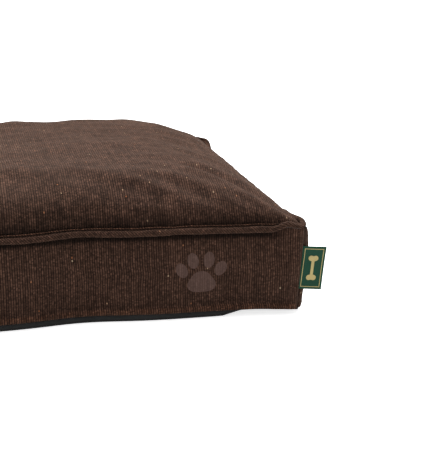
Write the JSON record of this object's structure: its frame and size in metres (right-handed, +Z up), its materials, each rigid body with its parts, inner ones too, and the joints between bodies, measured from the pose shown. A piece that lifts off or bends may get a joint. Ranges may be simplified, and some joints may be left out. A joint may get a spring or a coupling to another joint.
{
  "type": "pet cushion bed",
  "caption": "Rectangular box cushion bed for a pet, with a full crowned top, a bound top seam, a zipped band and a folded label in one corner.",
  "frame": {"origin": "floor level, under the middle of the rectangular base", "axes": "+X along the long front side towards the labelled corner, +Y to the back, where the zip is, +Z up"},
  "size_m": [0.8169, 0.6, 0.192],
  "materials": {
    "cover_cloth": "brown melange weave with flecks",
    "binding_cloth": "bias-cut strip of the cover cloth",
    "base_cloth": "black close weave",
    "label_cloth": "green woven label with a gold border",
    "emblem_flock": "flocked print, tone on tone",
    "thread": "polyester sewing thread",
    "zip_tape": "woven zip tape",
    "zip_coil": "nylon coil",
    "zip_metal": "dark nickel plate, satin",
    "care_label_cloth": "white satin tape, blank",
    "pad_cloth": "white spun-bonded lining",
    "fibre": "white hollow fibre"
  },
  "bodies": {
    "cover": {"top_panel": "cover_cloth", "band_front": "cover_cloth", "band_right": "cover_cloth", "band_left": "cover_cloth", "band_back_upper": "cover_cloth", "band_back_lower": "cover_cloth", "base_panel": "base_cloth", "top_binding": "binding_cloth", "binding_stitching": "thread", "woven_label": "label_cloth", "emblem_paw": "emblem_flock", "care_label": "care_label_cloth", "zip_tape_upper": "zip_tape", "zip_tape_lower": "zip_tape", "zip_coil_upper": "zip_coil", "zip_coil_lower": "zip_coil", "zip_top_stops": "zip_metal", "zip_bottom_stop": "zip_metal", "zip_stitching": "thread", "inner_pad_top": "pad_cloth", "inner_pad_band": "pad_cloth", "inner_pad_base": "pad_cloth", "fibre_filling": "fibre"},
    "slider": {"zip_slider": "zip_metal"},
    "pull": {"zip_pull": "zip_metal"}
  },
  "joints": [
    {"name": "zip_slide", "type": "slide", "parent": "cover", "child": "slider", "axis": [-1, 0, 0], "range_m": [0, 0.709]},
    {"name": "pull_flip", "type": "hinge", "parent": "slider", "child": "pull", "pos_m": [0.3547, 0.2944, 0.0625], "axis": [0, 0, -1], "range_deg": [0, 180]}
  ]
}
